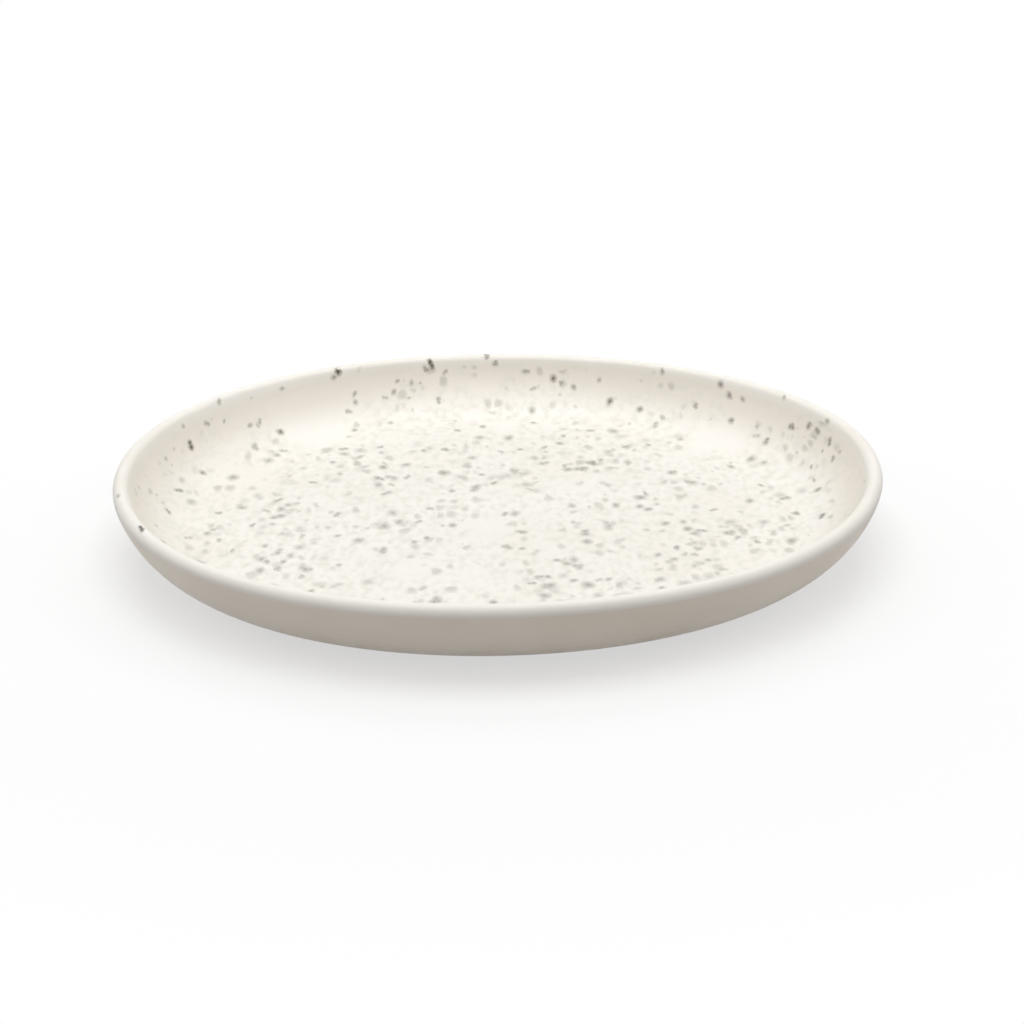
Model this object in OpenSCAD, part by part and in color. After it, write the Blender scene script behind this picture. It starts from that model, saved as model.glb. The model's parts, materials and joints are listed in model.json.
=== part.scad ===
// Dessert plate: a coupe plate of stoneware with a rounded lip and a turned foot ring.
// The clay body is bare only on the foot ring. Three coats of glaze cover the rest of it: one on
// the eating face and the lip, one on the outside, and one in the recess inside the foot ring.
// The origin is the centre of the foot ring, on the table. +Z is up. Sizes are millimetres.

/* [Plate] */
// Diameter over the lip
plate_d = 210; // [200:1:230]
// Thickness of the rounded lip, glaze included
lip_t = 4.4; // [3.6:0.2:5.2]
// Radius of the outside curve, from the lip down to the underside
heel_r = 24.5; // [23.5:0.1:27]
// Radius of the inside curve, from the lip down to the floor of the well
cove_r = 20.8; // [19:0.1:22]

/* [Foot ring] */
// Outer diameter of the foot ring, glaze included
foot_d = 138; // [110:1:144]
// Width of the foot ring, glaze included
foot_w = 5.6; // [4.6:0.2:9]
// Height from the table to the glazed underside
foot_h = 2.5; // [2.3:0.1:4]
// Radius of the hollow where the ring's sides meet the underside
foot_root_r = 1.2; // [0.6:0.1:1.2]
// Radius of the bare lower edges, which are sponged round
foot_edge_r = 0.8; // [0.4:0.1:0.9]

/* [Glaze] */
// Thickness of each coat of glaze
glaze_t = 0.4; // [0.2:0.05:0.6]
// Height above the table at which the coats end on the foot ring
glaze_stop = 1; // [0.95:0.05:1.05]

/* [Hidden] */
$fn = 128;

clay_colour = [0.78, 0.69, 0.56];
inner_colour = [0.95, 0.93, 0.88];
outer_colour = [0.92, 0.89, 0.83];

// The section is a chain of tangent arcs: the heel outside, the half round of the lip, and the cove
// inside. The two directions in which the lip meets the heel and the cove are the sides of the
// 7-24-25 and 44-117-125 triangles, so each centre and each meeting point is an exact decimal.
heel_dir = [0.96, -0.28];
cove_dir = [0.936, -0.352];

lip_r = lip_t / 2;
plate_h = foot_h + heel_r + (heel_r - lip_r) * heel_dir[1] + lip_r;
lip_c = [plate_d / 2 - lip_r, plate_h - lip_r];
heel_c = lip_c - (heel_r - lip_r) * heel_dir;
cove_c = lip_c - (cove_r + lip_r) * cove_dir;
well_z = cove_c[1] - cove_r;

foot_ro = foot_d / 2;
foot_ri = foot_ro - foot_w;
root_z = foot_h - foot_root_r;
root_out_c = [foot_ro + foot_root_r, root_z];
root_in_c = [foot_ri - foot_root_r, root_z];

// Windows that cut each arc out of its circle. Neighbouring windows share their edges.
clear_r = plate_d / 2 + lip_t;
clear_z = plate_h + lip_t;
heel_mark = lip_c + lip_t * heel_dir;
heel_window = [heel_c, [heel_c[0], 0], [clear_r, 0], heel_mark];
cove_window = [cove_c, [cove_c[0], 0], [clear_r, 0], lip_c];
lip_window = [lip_c, heel_mark, [clear_r, clear_z], [cove_c[0], clear_z], cove_c];

// Rectangle between two opposite corners
module block(low, high) {
    translate(low) square(high - low);
}

module disc(centre, radius) {
    translate(centre) circle(radius);
}

// Part of a ring between two radii that lies in a window
module arc_band(centre, r_in, r_out, window) {
    intersection() {
        difference() {
            disc(centre, r_out);
            disc(centre, r_in);
        }
        polygon(window);
    }
}

// Quarter of a ring with its corner at the centre; turn is the angle of its first side
module quarter_band(centre, r_in, r_out, turn) {
    translate(centre) rotate(turn) intersection() {
        difference() {
            circle(r_out);
            circle(r_in);
        }
        square(r_out);
    }
}

// Clay between the floor and the underside, as far out as the two curves
module floor_section() {
    polygon([[0, foot_h + glaze_t], [heel_c[0], foot_h + glaze_t],
             [cove_c[0], well_z - glaze_t], [0, well_z - glaze_t]]);
}

// Clay between the heel and the cove, up to the middle of the lip
module wall_section() {
    difference() {
        intersection() {
            disc(heel_c, heel_r - glaze_t);
            polygon([cove_c, [cove_c[0], well_z - glaze_t], [heel_c[0], foot_h + glaze_t],
                     [heel_c[0], 0], [clear_r, 0], heel_mark, lip_c]);
        }
        disc(cove_c, cove_r + glaze_t);
    }
}

module lip_section() {
    intersection() {
        disc(lip_c, lip_r - glaze_t);
        polygon(lip_window);
    }
}

// Bare foot ring, with its lower edges rounded
module foot_section() {
    inner = foot_ri + glaze_t;
    outer = foot_ro - glaze_t;
    difference() {
        block([inner, 0], [outer, foot_h + glaze_t]);
        block([inner, 0], [inner + foot_edge_r, foot_edge_r]);
        block([outer - foot_edge_r, 0], [outer, foot_edge_r]);
    }
    disc_corner([inner + foot_edge_r, foot_edge_r], 180);
    disc_corner([outer - foot_edge_r, foot_edge_r], 270);
}

// Rounded lower edge of the foot ring: a quarter of a disc
module disc_corner(centre, turn) {
    translate(centre) rotate(turn) intersection() {
        circle(foot_edge_r);
        square(foot_edge_r);
    }
}

// Hollow corner of clay where a side of the foot ring meets the underside
module root_section(centre, turn) {
    radius = foot_root_r + glaze_t;
    translate(centre) rotate(turn) difference() {
        square(radius);
        circle(radius);
    }
}

module stoneware_body() {
    color(clay_colour) rotate_extrude() {
        floor_section();
        wall_section();
        lip_section();
        foot_section();
        root_section(root_out_c, 90);
        root_section(root_in_c, 0);
    }
}

// Coat on the eating face: the floor, the cove and all of the rounded lip
module inner_glaze() {
    color(inner_colour) rotate_extrude() {
        block([0, well_z - glaze_t], [cove_c[0], well_z]);
        arc_band(cove_c, cove_r, cove_r + glaze_t, cove_window);
        arc_band(lip_c, lip_r - glaze_t, lip_r, lip_window);
    }
}

// Coat on the outside: the heel, the underside and the upper part of the foot ring's outer side
module outer_glaze() {
    color(outer_colour) rotate_extrude() {
        arc_band(heel_c, heel_r - glaze_t, heel_r, heel_window);
        block([root_out_c[0], foot_h], [heel_c[0], foot_h + glaze_t]);
        quarter_band(root_out_c, foot_root_r, foot_root_r + glaze_t, 90);
        block([foot_ro - glaze_t, glaze_stop], [foot_ro, root_z]);
    }
}

// Coat in the recess: the underside of the floor and the upper part of the ring's inner side
module recess_glaze() {
    color(outer_colour) rotate_extrude() {
        block([0, foot_h], [root_in_c[0], foot_h + glaze_t]);
        quarter_band(root_in_c, foot_root_r, foot_root_r + glaze_t, 0);
        block([foot_ri, glaze_stop], [foot_ri + glaze_t, root_z]);
    }
}

stoneware_body();
inner_glaze();
outer_glaze();
recess_glaze();
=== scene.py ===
"""Speckled stoneware dessert plate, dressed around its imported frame.

The plate is turned from one section by a lathe made of geometry nodes: the clay body, and the three
coats of glaze that lie on it. Iron flecks are scattered over the coat on the eating face. Everything
is in metres, in the frame's own place, and rides on the frame's one body.
"""

import json
import logging
import math
from collections.abc import Iterable, Mapping
from dataclasses import dataclass, field
from enum import Enum
from typing import Any, ClassVar, NamedTuple

import bpy
from bpy.types import Material, Mesh, Node, NodeSocket, NodeTree, Object
from mathutils import Matrix, Vector, noise


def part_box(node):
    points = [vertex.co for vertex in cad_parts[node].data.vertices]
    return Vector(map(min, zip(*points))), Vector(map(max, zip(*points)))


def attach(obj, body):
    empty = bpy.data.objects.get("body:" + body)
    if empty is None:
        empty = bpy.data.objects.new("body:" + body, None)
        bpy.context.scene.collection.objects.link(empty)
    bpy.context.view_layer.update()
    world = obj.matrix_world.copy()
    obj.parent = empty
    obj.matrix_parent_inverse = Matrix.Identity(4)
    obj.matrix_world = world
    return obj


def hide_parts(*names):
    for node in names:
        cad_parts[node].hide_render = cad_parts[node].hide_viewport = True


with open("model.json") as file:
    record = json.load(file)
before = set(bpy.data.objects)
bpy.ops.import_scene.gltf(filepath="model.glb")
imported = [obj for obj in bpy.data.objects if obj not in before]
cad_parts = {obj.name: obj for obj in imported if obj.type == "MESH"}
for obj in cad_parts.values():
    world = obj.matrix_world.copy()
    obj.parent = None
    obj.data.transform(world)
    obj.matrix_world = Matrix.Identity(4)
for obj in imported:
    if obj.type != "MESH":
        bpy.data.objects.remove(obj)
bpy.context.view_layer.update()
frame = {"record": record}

log = logging.getLogger("dessert_plate")

Point = tuple[float, float]
Span = tuple[float, float]
Place = tuple[float, float, float]
Colour = tuple[float, float, float]

BODY = "root"
WHITE: Colour = (1.0, 1.0, 1.0)
FULL_TURN = 2.0 * math.pi
SHARP_ANGLE = math.radians(38.0)
MM_PER_METRE = 1000.0


class CadNode(Enum):
    """Nodes of the frame that the dressed pieces stand for."""

    CLAY = "stoneware_body"
    INNER = "inner_glaze"
    OUTER = "outer_glaze"
    RECESS = "recess_glaze"


class Slot(Enum):
    """Material slots of the record."""

    CLAY = "bare_stoneware"
    SPECKLED = "speckled_cream_glaze"
    PLAIN = "plain_cream_glaze"


class TreeKind(Enum):
    """Kinds of node group."""

    SHADER = "ShaderNodeTree"
    GEOMETRY = "GeometryNodeTree"


class SocketKind(Enum):
    """Kinds of value that go into a node group or come out of it."""

    NUMBER = "NodeSocketFloat"
    COUNT = "NodeSocketInt"
    COLOUR = "NodeSocketColor"
    VECTOR = "NodeSocketVector"
    SHAPE = "NodeSocketGeometry"
    FINISH = "NodeSocketMaterial"


class Mark(Enum):
    """Names of the values that the meshes store for the flecks."""

    DENSITY = "fleck_density"
    CHOSEN = "fleck_chosen"
    CORE = "fleck_core"
    RISE = "fleck_rise"
    SHADE = "fleck_shade"
    SIZE = "fleck_size"
    MIDDLE = "fleck_middle"


class Draw(Enum):
    """Seeds of the random draws that each fleck makes."""

    SIZE = 11
    STRETCH = 12
    SPIN = 13
    SHADE = 14
    BLANK = 15


def mm(value: float) -> float:
    """Return millimetres as metres."""
    return value / MM_PER_METRE


def share_of(value: float, span: Span) -> float:
    """Return how far a value lies through a span, from 0 before it to 1 after it."""
    return min(max((value - span[0]) / (span[1] - span[0]), 0.0), 1.0)


def new_object(name: str, data: Any) -> Object:
    """Make an object in the scene.

    Args:
        name: Its name.
        data: Its mesh, lamp or camera.

    Returns:
        The object.
    """
    thing = bpy.data.objects.new(name, data)
    bpy.context.scene.collection.objects.link(thing)
    return thing


class NodeSheet:
    """A node tree that is filled by short calls.

    Attributes:
        tree: The tree that is filled.
    """

    def __init__(self, tree: NodeTree) -> None:
        """Take a tree to fill."""
        self.tree = tree

    def add(self, kind: str, inputs: Mapping[Any, Any] | None = None, **settings: Any) -> Node:
        """Add a node.

        Args:
            kind: Node type name.
            inputs: Socket name or index to a value or to the output socket that feeds it.
            settings: Properties of the node, which are set first.

        Returns:
            The new node.
        """
        node = self.tree.nodes.new(kind)
        for name, value in settings.items():
            setattr(node, name, value)
        for key, value in (inputs or {}).items():
            self.feed(self.socket(node, key), value)
        return node

    def out(self, kind: str, inputs: Mapping[Any, Any] | None = None, **settings: Any) -> NodeSocket:
        """Add a node as add() does, and return the first of its outputs in use."""
        return next(s for s in self.add(kind, inputs, **settings).outputs if s.enabled)

    @staticmethod
    def socket(node: Node, key: str | int) -> NodeSocket:
        """Find an input of a node.

        Args:
            node: The node.
            key: The input's index, or its name among the inputs in use.

        Returns:
            The input.
        """
        if isinstance(key, int):
            return node.inputs[key]
        return next(s for s in node.inputs if s.name == key and s.enabled)

    def feed(self, socket: NodeSocket, value: Any) -> None:
        """Link an output to an input, or set the input's own value.

        Args:
            socket: The input.
            value: The output that feeds it, or the value, which for a colour is three numbers.
        """
        if isinstance(value, NodeSocket):
            self.tree.links.new(value, socket)
        elif socket.type == "RGBA":
            socket.default_value = (*value, 1.0)
        else:
            socket.default_value = value

    def math(self, operation: str, *values: Any) -> NodeSocket:
        """Return the result of a Math node on up to three numbers."""
        return self.out("ShaderNodeMath", dict(enumerate(values)), operation=operation)

    def times(self, first: Any, second: Any) -> NodeSocket:
        """Return the product of two numbers."""
        return self.math("MULTIPLY", first, second)

    def ramp(self, value: Any, start: Any, end: Any, low: Any = 0.0, high: Any = 1.0) -> NodeSocket:
        """Carry a value smoothly from one range to another.

        Args:
            value: The value.
            start: Where the result begins to leave its first value.
            end: Where it comes to its last value.
            low: First value of the result.
            high: Last value of the result.

        Returns:
            The result.
        """
        names = ("Value", "From Min", "From Max", "To Min", "To Max")
        inputs = dict(zip(names, (value, start, end, low, high)))
        return self.out("ShaderNodeMapRange", inputs, interpolation_type="SMOOTHSTEP")

    def mix(self, factor: Any, first: Any, second: Any) -> NodeSocket:
        """Return the mix of two colours."""
        return self.out("ShaderNodeMix", {"Factor": factor, "A": first, "B": second}, data_type="RGBA")

    def noise(self, vector: Any, scale: Any, detail: float = 2.0, output: str = "Fac") -> NodeSocket:
        """Return an output of a noise texture on given coordinates."""
        inputs = {"Vector": vector, "Scale": scale, "Detail": detail}
        return self.add("ShaderNodeTexNoise", inputs).outputs[output]

    def vector(self, operation: str, *values: Any) -> NodeSocket:
        """Return the result of a Vector Math node on up to three vectors."""
        return self.out("ShaderNodeVectorMath", dict(enumerate(values)), operation=operation)

    def scaled(self, vector: Any, factor: Any) -> NodeSocket:
        """Return a vector times a number."""
        return self.out("ShaderNodeVectorMath", {0: vector, "Scale": factor}, operation="SCALE")

    def split(self, vector: Any) -> tuple[NodeSocket, ...]:
        """Return the three parts of a vector."""
        return tuple(self.add("ShaderNodeSeparateXYZ", {0: vector}).outputs)

    def join(self, x: Any, y: Any, z: Any) -> NodeSocket:
        """Return the vector that has three given parts."""
        return self.out("ShaderNodeCombineXYZ", {"X": x, "Y": y, "Z": z})

    def from_axis(self, x: NodeSocket, y: NodeSocket) -> NodeSocket:
        """Return how far from the upright axis a place lies."""
        return self.math("SQRT", self.math("MULTIPLY_ADD", x, x, self.times(y, y)))


class GroupSheet(NodeSheet):
    """A node group with named sockets.

    Attributes:
        take: The group's inputs, by name.
        give: Its outputs, by name.
    """

    def __init__(self, name: str, kind: TreeKind, inputs: Mapping[str, SocketKind],
                 outputs: Mapping[str, SocketKind]) -> None:
        """Open a group.

        Args:
            name: Group name.
            kind: Kind of group.
            inputs: Input name to its kind.
            outputs: Output name to its kind.
        """
        super().__init__(bpy.data.node_groups.new(name, kind.value))
        for way, sockets in (("INPUT", inputs), ("OUTPUT", outputs)):
            for label, socket in sockets.items():
                self.tree.interface.new_socket(name=label, in_out=way, socket_type=socket.value)
        self.take = self.add("NodeGroupInput").outputs
        self.give = self.add("NodeGroupOutput").inputs

    def put(self, name: str, value: NodeSocket) -> None:
        """Send a value out of the group."""
        self.feed(self.give[name], value)


class ShaderGroups:
    """Effects that more than one finish uses, each built once.

    Attributes:
        tone: Drifts between two colours in soft patches.
        relief: Low undulations with a fine skin on them.
        grains: Small grains of uneven size, in a share of the cells.
        rings: Faint uneven rings that turning leaves round the axis.
    """

    # Values of the noise between which one colour turns to the other.
    PATCH_EDGE: Span = (0.38, 0.72)
    # Share of its reach in which a grain is whole, and how far in from its cell's edge it is so.
    GRAIN_HEART = 0.2
    GRAIN_GAP = 0.2
    # Changes per metre in how far a ring strays.
    STRAY_SCALE = 45.0

    def __init__(self) -> None:
        """Build the groups."""
        self.tone = self._build_tone()
        self.relief = self._build_relief()
        self.grains = self._build_grains()
        self.rings = self._build_rings()

    @staticmethod
    def _open(name: str, numbers: Iterable[str], outputs: Iterable[str]) -> GroupSheet:
        """Open a group that takes coordinates and named numbers, and gives named numbers."""
        inputs = {"Vector": SocketKind.VECTOR, **dict.fromkeys(numbers, SocketKind.NUMBER)}
        return GroupSheet(name, TreeKind.SHADER, inputs, dict.fromkeys(outputs, SocketKind.NUMBER))

    def _build_tone(self) -> NodeTree:
        """Build the group of drifting colours.

        Returns:
            The group.
        """
        colour = SocketKind.COLOUR
        sheet = GroupSheet("drifting_tone", TreeKind.SHADER,
                           {"Vector": SocketKind.VECTOR, "Main": colour, "Drift": colour,
                            "Scale": SocketKind.NUMBER}, {"Colour": colour})
        patches = sheet.noise(sheet.take["Vector"], sheet.take["Scale"], detail=3.0)
        share = sheet.ramp(patches, *self.PATCH_EDGE)
        sheet.put("Colour", sheet.mix(share, sheet.take["Main"], sheet.take["Drift"]))
        return sheet.tree

    def _build_relief(self) -> NodeTree:
        """Build the group of undulations.

        Returns:
            The group.
        """
        sheet = self._open("fired_relief", ("Broad Scale", "Fine Scale", "Fine Share"),
                           ("Height", "Variation"))
        broad = sheet.noise(sheet.take["Vector"], sheet.take["Broad Scale"])
        fine = sheet.noise(sheet.take["Vector"], sheet.take["Fine Scale"], detail=3.0)
        sheet.put("Height", sheet.math("ADD", broad, sheet.times(fine, sheet.take["Fine Share"])))
        sheet.put("Variation", broad)
        return sheet.tree

    def _build_grains(self) -> NodeTree:
        """Build the group of grains, which fade outwards and keep clear of their cells' edges.

        Returns:
            The group.
        """
        sheet = self._open("scattered_grains", ("Cells", "Share", "Size"), ("Mask",))
        pattern = {"Vector": sheet.take["Vector"], "Scale": sheet.take["Cells"]}
        cells = sheet.add("ShaderNodeTexVoronoi", pattern)
        draws = sheet.add("ShaderNodeSeparateColor", {"Color": cells.outputs["Color"]})
        picked = sheet.math("LESS_THAN", draws.outputs["Red"], sheet.take["Share"])
        reach = sheet.times(draws.outputs["Green"], sheet.take["Size"])
        body = sheet.ramp(cells.outputs["Distance"], reach, sheet.times(reach, self.GRAIN_HEART))
        edges = sheet.add("ShaderNodeTexVoronoi", pattern, feature="DISTANCE_TO_EDGE")
        whole = sheet.times(body, sheet.ramp(edges.outputs["Distance"], 0.0, self.GRAIN_GAP))
        sheet.put("Mask", sheet.times(whole, picked))
        return sheet.tree

    def _build_rings(self) -> NodeTree:
        """Build the group of turning rings.

        Returns:
            The group.
        """
        sheet = self._open("turning_rings", ("Pitch", "Wander"), ("Height",))
        x, y, z = sheet.split(sheet.take["Vector"])
        along = sheet.math("ADD", sheet.from_axis(x, y), z)
        stray = sheet.noise(sheet.take["Vector"], self.STRAY_SCALE, detail=1.0)
        steps = sheet.times(along, sheet.take["Pitch"])
        turn = sheet.math("MULTIPLY_ADD", stray, sheet.take["Wander"], steps)
        wave = {"W": turn, "Scale": 1.0, "Detail": 2.0}
        rings = sheet.add("ShaderNodeTexNoise", wave, noise_dimensions="1D")
        sheet.put("Height", rings.outputs["Fac"])
        return sheet.tree


class FinishSheet(NodeSheet):
    """The node tree of one material.

    Attributes:
        material: The material.
        groups: The shared effects.
        shader: The material's Principled shader.
        place: The object's own coordinates.
    """

    def __init__(self, name: str, groups: ShaderGroups) -> None:
        """Start a material.

        Args:
            name: Material name.
            groups: The shared effects.
        """
        self.material = bpy.data.materials.new(name)
        self.material.use_nodes = True
        super().__init__(self.material.node_tree)
        self.groups = groups
        self.shader = next(n for n in self.tree.nodes if n.type == "BSDF_PRINCIPLED")
        self.place = self.add("ShaderNodeTexCoord").outputs["Object"]

    def group(self, tree: NodeTree, **values: Any) -> Node:
        """Place a shared group; an underscore in a value's name stands for a space."""
        named = {key.replace("_", " "): value for key, value in values.items()}
        return self.add("ShaderNodeGroup", {"Vector": self.place, **named}, node_tree=tree)

    def stored(self, mark: Mark) -> NodeSocket:
        """Return a value that the mesh stores."""
        return self.add("ShaderNodeAttribute", attribute_name=mark.value).outputs["Fac"]

    def drive(self, name: str, value: NodeSocket) -> None:
        """Drive one of the shader's inputs."""
        self.feed(self.shader.inputs[name], value)


@dataclass(frozen=True)
class Relief:
    """Low undulations of a surface with a fine skin on them, which vary its gloss too.

    Attributes:
        broad: Undulations per metre.
        fine: Marks of the skin per metre.
        skin: Height of the skin, as a share of the undulations' height.
        depth: Height of the whole, in metres.
        strength: How strongly it shows.
        gloss: Lowest and highest roughness.
    """

    broad: float
    fine: float
    skin: float
    depth: float
    strength: float
    gloss: Span

    # Values of the undulations between which the roughness changes.
    GLOSS_EDGE: ClassVar[Span] = (0.3, 0.7)
    # Turning rings per metre, and by how many rings they stray.
    RING_PITCH: ClassVar[float] = 330.0
    RING_WANDER: ClassVar[float] = 2.5

    def dress(self, sheet: FinishSheet, colour: NodeSocket, rings: float = 0.0) -> None:
        """Set the shader's colour, gloss and relief.

        Args:
            sheet: The material's sheet.
            colour: The finished colour.
            rings: How strongly the turning rings show.
        """
        low = sheet.group(sheet.groups.relief, Broad_Scale=self.broad, Fine_Scale=self.fine,
                          Fine_Share=self.skin).outputs
        height = low["Height"]
        if rings > 0:
            turned = sheet.group(sheet.groups.rings, Pitch=self.RING_PITCH, Wander=self.RING_WANDER)
            height = sheet.math("MULTIPLY_ADD", turned.outputs["Height"], rings, height)
        bump = {"Height": height, "Distance": self.depth, "Strength": self.strength}
        sheet.drive("Base Color", colour)
        sheet.drive("Roughness", sheet.ramp(low["Variation"], *self.GLOSS_EDGE, *self.gloss))
        sheet.drive("Normal", sheet.out("ShaderNodeBump", bump))


@dataclass(frozen=True)
class GlazeFinish:
    """Satin stoneware glaze.

    Attributes:
        name: Material name.
        main: Colour over most of the coat.
        drift: Colour of the soft patches where the coat is thinner.
        patch_scale: Patches per metre.
        thin_glaze_and_shade: Colour of the steep inner wall, if it has one: glaze run thin and painted shade
            where the wall lies in shade.
        thin_and_shade_z: Heights at which this warmer, darker stretch begins, is whole, starts to end and has
            ended.
        pepper: Share of the fine cells that hold a grain of pepper where the flecks are densest, 0 for none.
        pepper_colour: Colour of the fine pepper.
        pepper_cells: Cells of the pepper per metre.
        pepper_size: Size of its largest grain, as a share of a cell.
        pepper_strength: How strongly it shows.
        mottle: Colour of the fine mottling among the flecks.
        mottle_scale: Marks of the mottling per metre.
        mottled_from: Density of the flecks from which the mottling is whole.
        pattern: Scale of the mottling and the pepper on each axis, smaller where they are drawn out.
        relief: Undulations and gloss of the coat.
        rings: How strongly the turning rings show.
        refraction: Index of refraction.
    """

    name: str
    main: Colour
    drift: Colour
    patch_scale: float = 26.0
    thin_glaze_and_shade: Colour | None = None
    thin_and_shade_z: tuple[float, float, float, float] = (mm(9.0), mm(16.0), mm(19.0), mm(22.0))
    pepper: float = 0.0
    pepper_colour: Colour = (0.2, 0.17, 0.13)
    pepper_cells: float = 300.0
    pepper_size: float = 0.8
    pepper_strength: float = 0.31
    mottle: Colour = (0.775, 0.747, 0.673)
    mottle_scale: float = 480.0
    mottled_from: float = 0.4
    pattern: Place = (1.0, 0.55, 1.0)
    relief: Relief = Relief(broad=70.0, fine=1100.0, skin=0.12, depth=mm(0.25), strength=0.35,
                            gloss=(0.4, 0.52))
    rings: float = 0.0
    refraction: float = 1.5

    def tone(self, sheet: FinishSheet) -> NodeSocket:
        """Mix the coat's colour before any pepper or flecks.

        Args:
            sheet: The material's sheet.

        Returns:
            The colour.
        """
        patches = sheet.group(sheet.groups.tone, Main=self.main, Drift=self.drift, Scale=self.patch_scale)
        colour = patches.outputs["Colour"]
        if self.thin_glaze_and_shade is None:
            return colour
        # Painted shade, in part: the steep inner wall is darkened and warmed, as glaze run thin and as the
        # shade that falls on it.
        height = sheet.split(sheet.place)[2]
        begins, whole, ending, ended = self.thin_and_shade_z
        stretch = sheet.times(sheet.ramp(height, begins, whole), sheet.ramp(height, ending, ended, 1.0, 0.0))
        return sheet.mix(stretch, colour, self.thin_glaze_and_shade)

    def peppered(self, sheet: FinishSheet) -> NodeSocket:
        """Mix the coat's colour with its mottling and pepper, which are thickest where the flecks crowd.

        Args:
            sheet: The material's sheet.

        Returns:
            The colour.
        """
        colour = self.tone(sheet)
        if self.pepper == 0:
            return colour
        crowd = sheet.stored(Mark.DENSITY)
        drawn = sheet.vector("MULTIPLY", sheet.place, self.pattern)
        mottled = sheet.group(sheet.groups.tone, Vector=drawn, Main=colour, Drift=self.mottle,
                              Scale=self.mottle_scale)
        colour = sheet.mix(sheet.ramp(crowd, 0.0, self.mottled_from), colour, mottled.outputs["Colour"])
        grains = sheet.group(sheet.groups.grains, Vector=drawn, Cells=self.pepper_cells,
                             Share=sheet.times(crowd, self.pepper), Size=self.pepper_size)
        share = sheet.times(grains.outputs["Mask"], self.pepper_strength)
        return sheet.mix(share, colour, self.pepper_colour)

    def dress(self, sheet: FinishSheet, colour: NodeSocket) -> None:
        """Set the shader to the glaze, with a finished colour."""
        self.relief.dress(sheet, colour, self.rings)
        sheet.shader.inputs["IOR"].default_value = self.refraction

    def material(self, groups: ShaderGroups) -> Material:
        """Make the coat's material.

        Args:
            groups: The shared effects.

        Returns:
            The material.
        """
        sheet = FinishSheet(self.name, groups)
        self.dress(sheet, self.peppered(sheet))
        return sheet.material


@dataclass(frozen=True)
class FleckFinish:
    """Iron flecks that bleed into the glaze they lie in.

    Attributes:
        glaze: The glaze around the flecks.
        cool: Colour of the black flecks.
        warm: Colour of the brown ones.
        warm_scale: Changes between the two per metre.
        warm_edge: Values of the noise between which black turns to brown.
        peak: How sharply a fleck darkens towards its middle.
        solid: How much wider the dark middle of the strongest flecks is.
        solid_edge: Strengths between which the middle widens.
    """

    glaze: GlazeFinish
    cool: Colour
    warm: Colour
    warm_scale: float = 140.0
    warm_edge: Span = (0.45, 0.75)
    peak: float = 1.25
    solid: float = 1.3
    solid_edge: Span = (0.88, 0.98)

    def material(self, groups: ShaderGroups) -> Material:
        """Make the flecks' material, which fades to the glaze's own colour at each outline.

        Args:
            groups: The shared effects.

        Returns:
            The material.
        """
        sheet = FinishSheet("iron_flecks", groups)
        shade = sheet.stored(Mark.SHADE)
        warmth = sheet.ramp(sheet.noise(sheet.place, self.warm_scale), *self.warm_edge)
        ink = sheet.mix(warmth, self.cool, self.warm)
        solid = sheet.ramp(shade, *self.solid_edge, 1.0, self.solid)
        core = sheet.math("MINIMUM", sheet.times(sheet.stored(Mark.CORE), solid), 1.0)
        share = sheet.math("POWER", sheet.times(core, shade), self.peak)
        self.glaze.dress(sheet, sheet.mix(share, self.glaze.peppered(sheet), ink))
        return sheet.material


@dataclass(frozen=True)
class ClayFinish:
    """Bare fired stoneware with grog in it.

    Attributes:
        main: Colour of the clay.
        drift: Colour of its warmer patches.
        grog: Colour of the dark grains.
        patch_scale: Patches per metre.
        grog_cells: Cells per metre in which grains may lie.
        grog_share: Share of the cells that hold one.
        grog_size: Size of the largest grain, as a share of a cell.
        relief: Undulations and gloss of the clay.
    """

    main: Colour
    drift: Colour
    grog: Colour
    patch_scale: float = 90.0
    grog_cells: float = 700.0
    grog_share: float = 0.35
    grog_size: float = 0.4
    relief: Relief = Relief(broad=500.0, fine=2600.0, skin=0.7, depth=mm(0.15), strength=0.6,
                            gloss=(0.72, 0.92))

    def material(self, groups: ShaderGroups) -> Material:
        """Make the clay's material.

        Args:
            groups: The shared effects.

        Returns:
            The material.
        """
        sheet = FinishSheet("bare_clay", groups)
        tone = sheet.group(groups.tone, Main=self.main, Drift=self.drift, Scale=self.patch_scale)
        grains = sheet.group(groups.grains, Cells=self.grog_cells, Share=self.grog_share, Size=self.grog_size)
        self.relief.dress(sheet, sheet.mix(grains.outputs["Mask"], tone.outputs["Colour"], self.grog))
        return sheet.material


# The speckled cream's wall colour is partly glaze run thin and partly painted shade on the steep inner wall.
CREAM = GlazeFinish("speckled_cream_glaze", main=(0.88, 0.853, 0.791), drift=(0.857, 0.823, 0.753),
                    thin_glaze_and_shade=(0.832, 0.772, 0.69), pepper=0.8)
# Plain glaze without specks, on the outside and in the recess. Its colour is painted shade: darker and warmer
# than the speckled cream, to stand for the shade on the outer wall.
SHADED_PLAIN_CREAM = GlazeFinish("plain_cream_glaze", main=(0.855, 0.773, 0.672), drift=(0.825, 0.738, 0.633),
                          rings=0.5)
IRON = FleckFinish(CREAM, cool=(0.05, 0.037, 0.016), warm=(0.09, 0.06, 0.026))
STONEWARE = ClayFinish(main=(0.56, 0.45, 0.33), drift=(0.5, 0.38, 0.26), grog=(0.2, 0.13, 0.08))


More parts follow.
